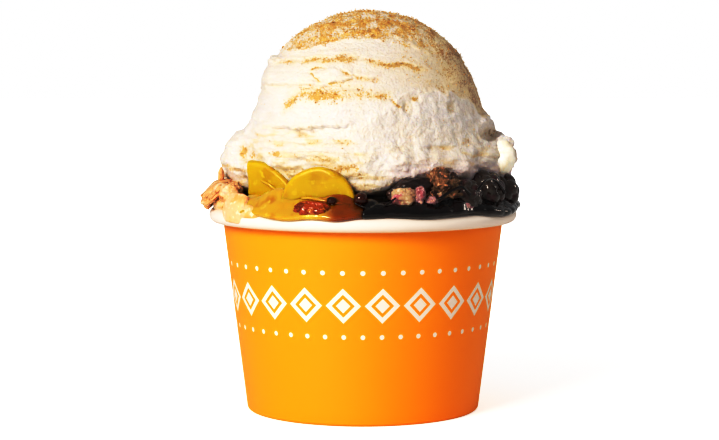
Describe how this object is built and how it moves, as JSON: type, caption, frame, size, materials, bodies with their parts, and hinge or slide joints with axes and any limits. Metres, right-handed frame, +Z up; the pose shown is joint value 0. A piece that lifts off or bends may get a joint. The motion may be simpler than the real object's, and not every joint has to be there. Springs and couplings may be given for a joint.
{
  "type": "fruit cobbler cup with ice cream",
  "caption": "Squat paper dessert cup of peach and dark-berry cobbler, with slices, berries and torn crust round the rim under a large dusted scoop of ice cream.",
  "frame": {"origin": "centre of the cup's foot, where its axis meets the table", "axes": "+Z up the cup's axis; -Y is the shown front of the serving, -X its peach side and +X its dark-berry side"},
  "size_m": [0.0995, 0.0958, 0.1235],
  "materials": {
    "orange_board": "satin",
    "white_board": "satin",
    "ice_cream": "matte",
    "peach_syrup": "gloss",
    "berry_syrup": "gloss",
    "peach_flesh": "gloss",
    "red_peach": "gloss",
    "baked_crust": "matte",
    "pale_dough": "matte",
    "stained_crust": "satin",
    "stained_dough": "satin",
    "dark_berry": "gloss"
  },
  "bodies": {
    "root": {"cup_wall": "orange_board", "cup_base": "white_board", "peach_filling": "peach_syrup", "berry_filling": "berry_syrup", "ice_cream": "ice_cream", "peach_slice_front": "peach_flesh", "peach_slice_left": "peach_flesh", "peach_slice_back_left": "peach_flesh", "peach_slice_back": "peach_flesh", "peach_piece_red": "red_peach", "crust_left": "baked_crust", "dough_left": "pale_dough", "crust_dark": "stained_crust", "crust_drowned": "stained_crust", "dough_tan": "stained_dough", "dough_pink": "stained_dough", "crust_back_left": "baked_crust", "crust_back_right": "stained_crust", "berry_right": "dark_berry", "berry_front_right": "dark_berry", "berry_front": "dark_berry", "berry_back_right": "dark_berry", "berry_far_right": "dark_berry", "berry_back": "dark_berry", "berry_small": "dark_berry"}
  },
  "joints": []
}
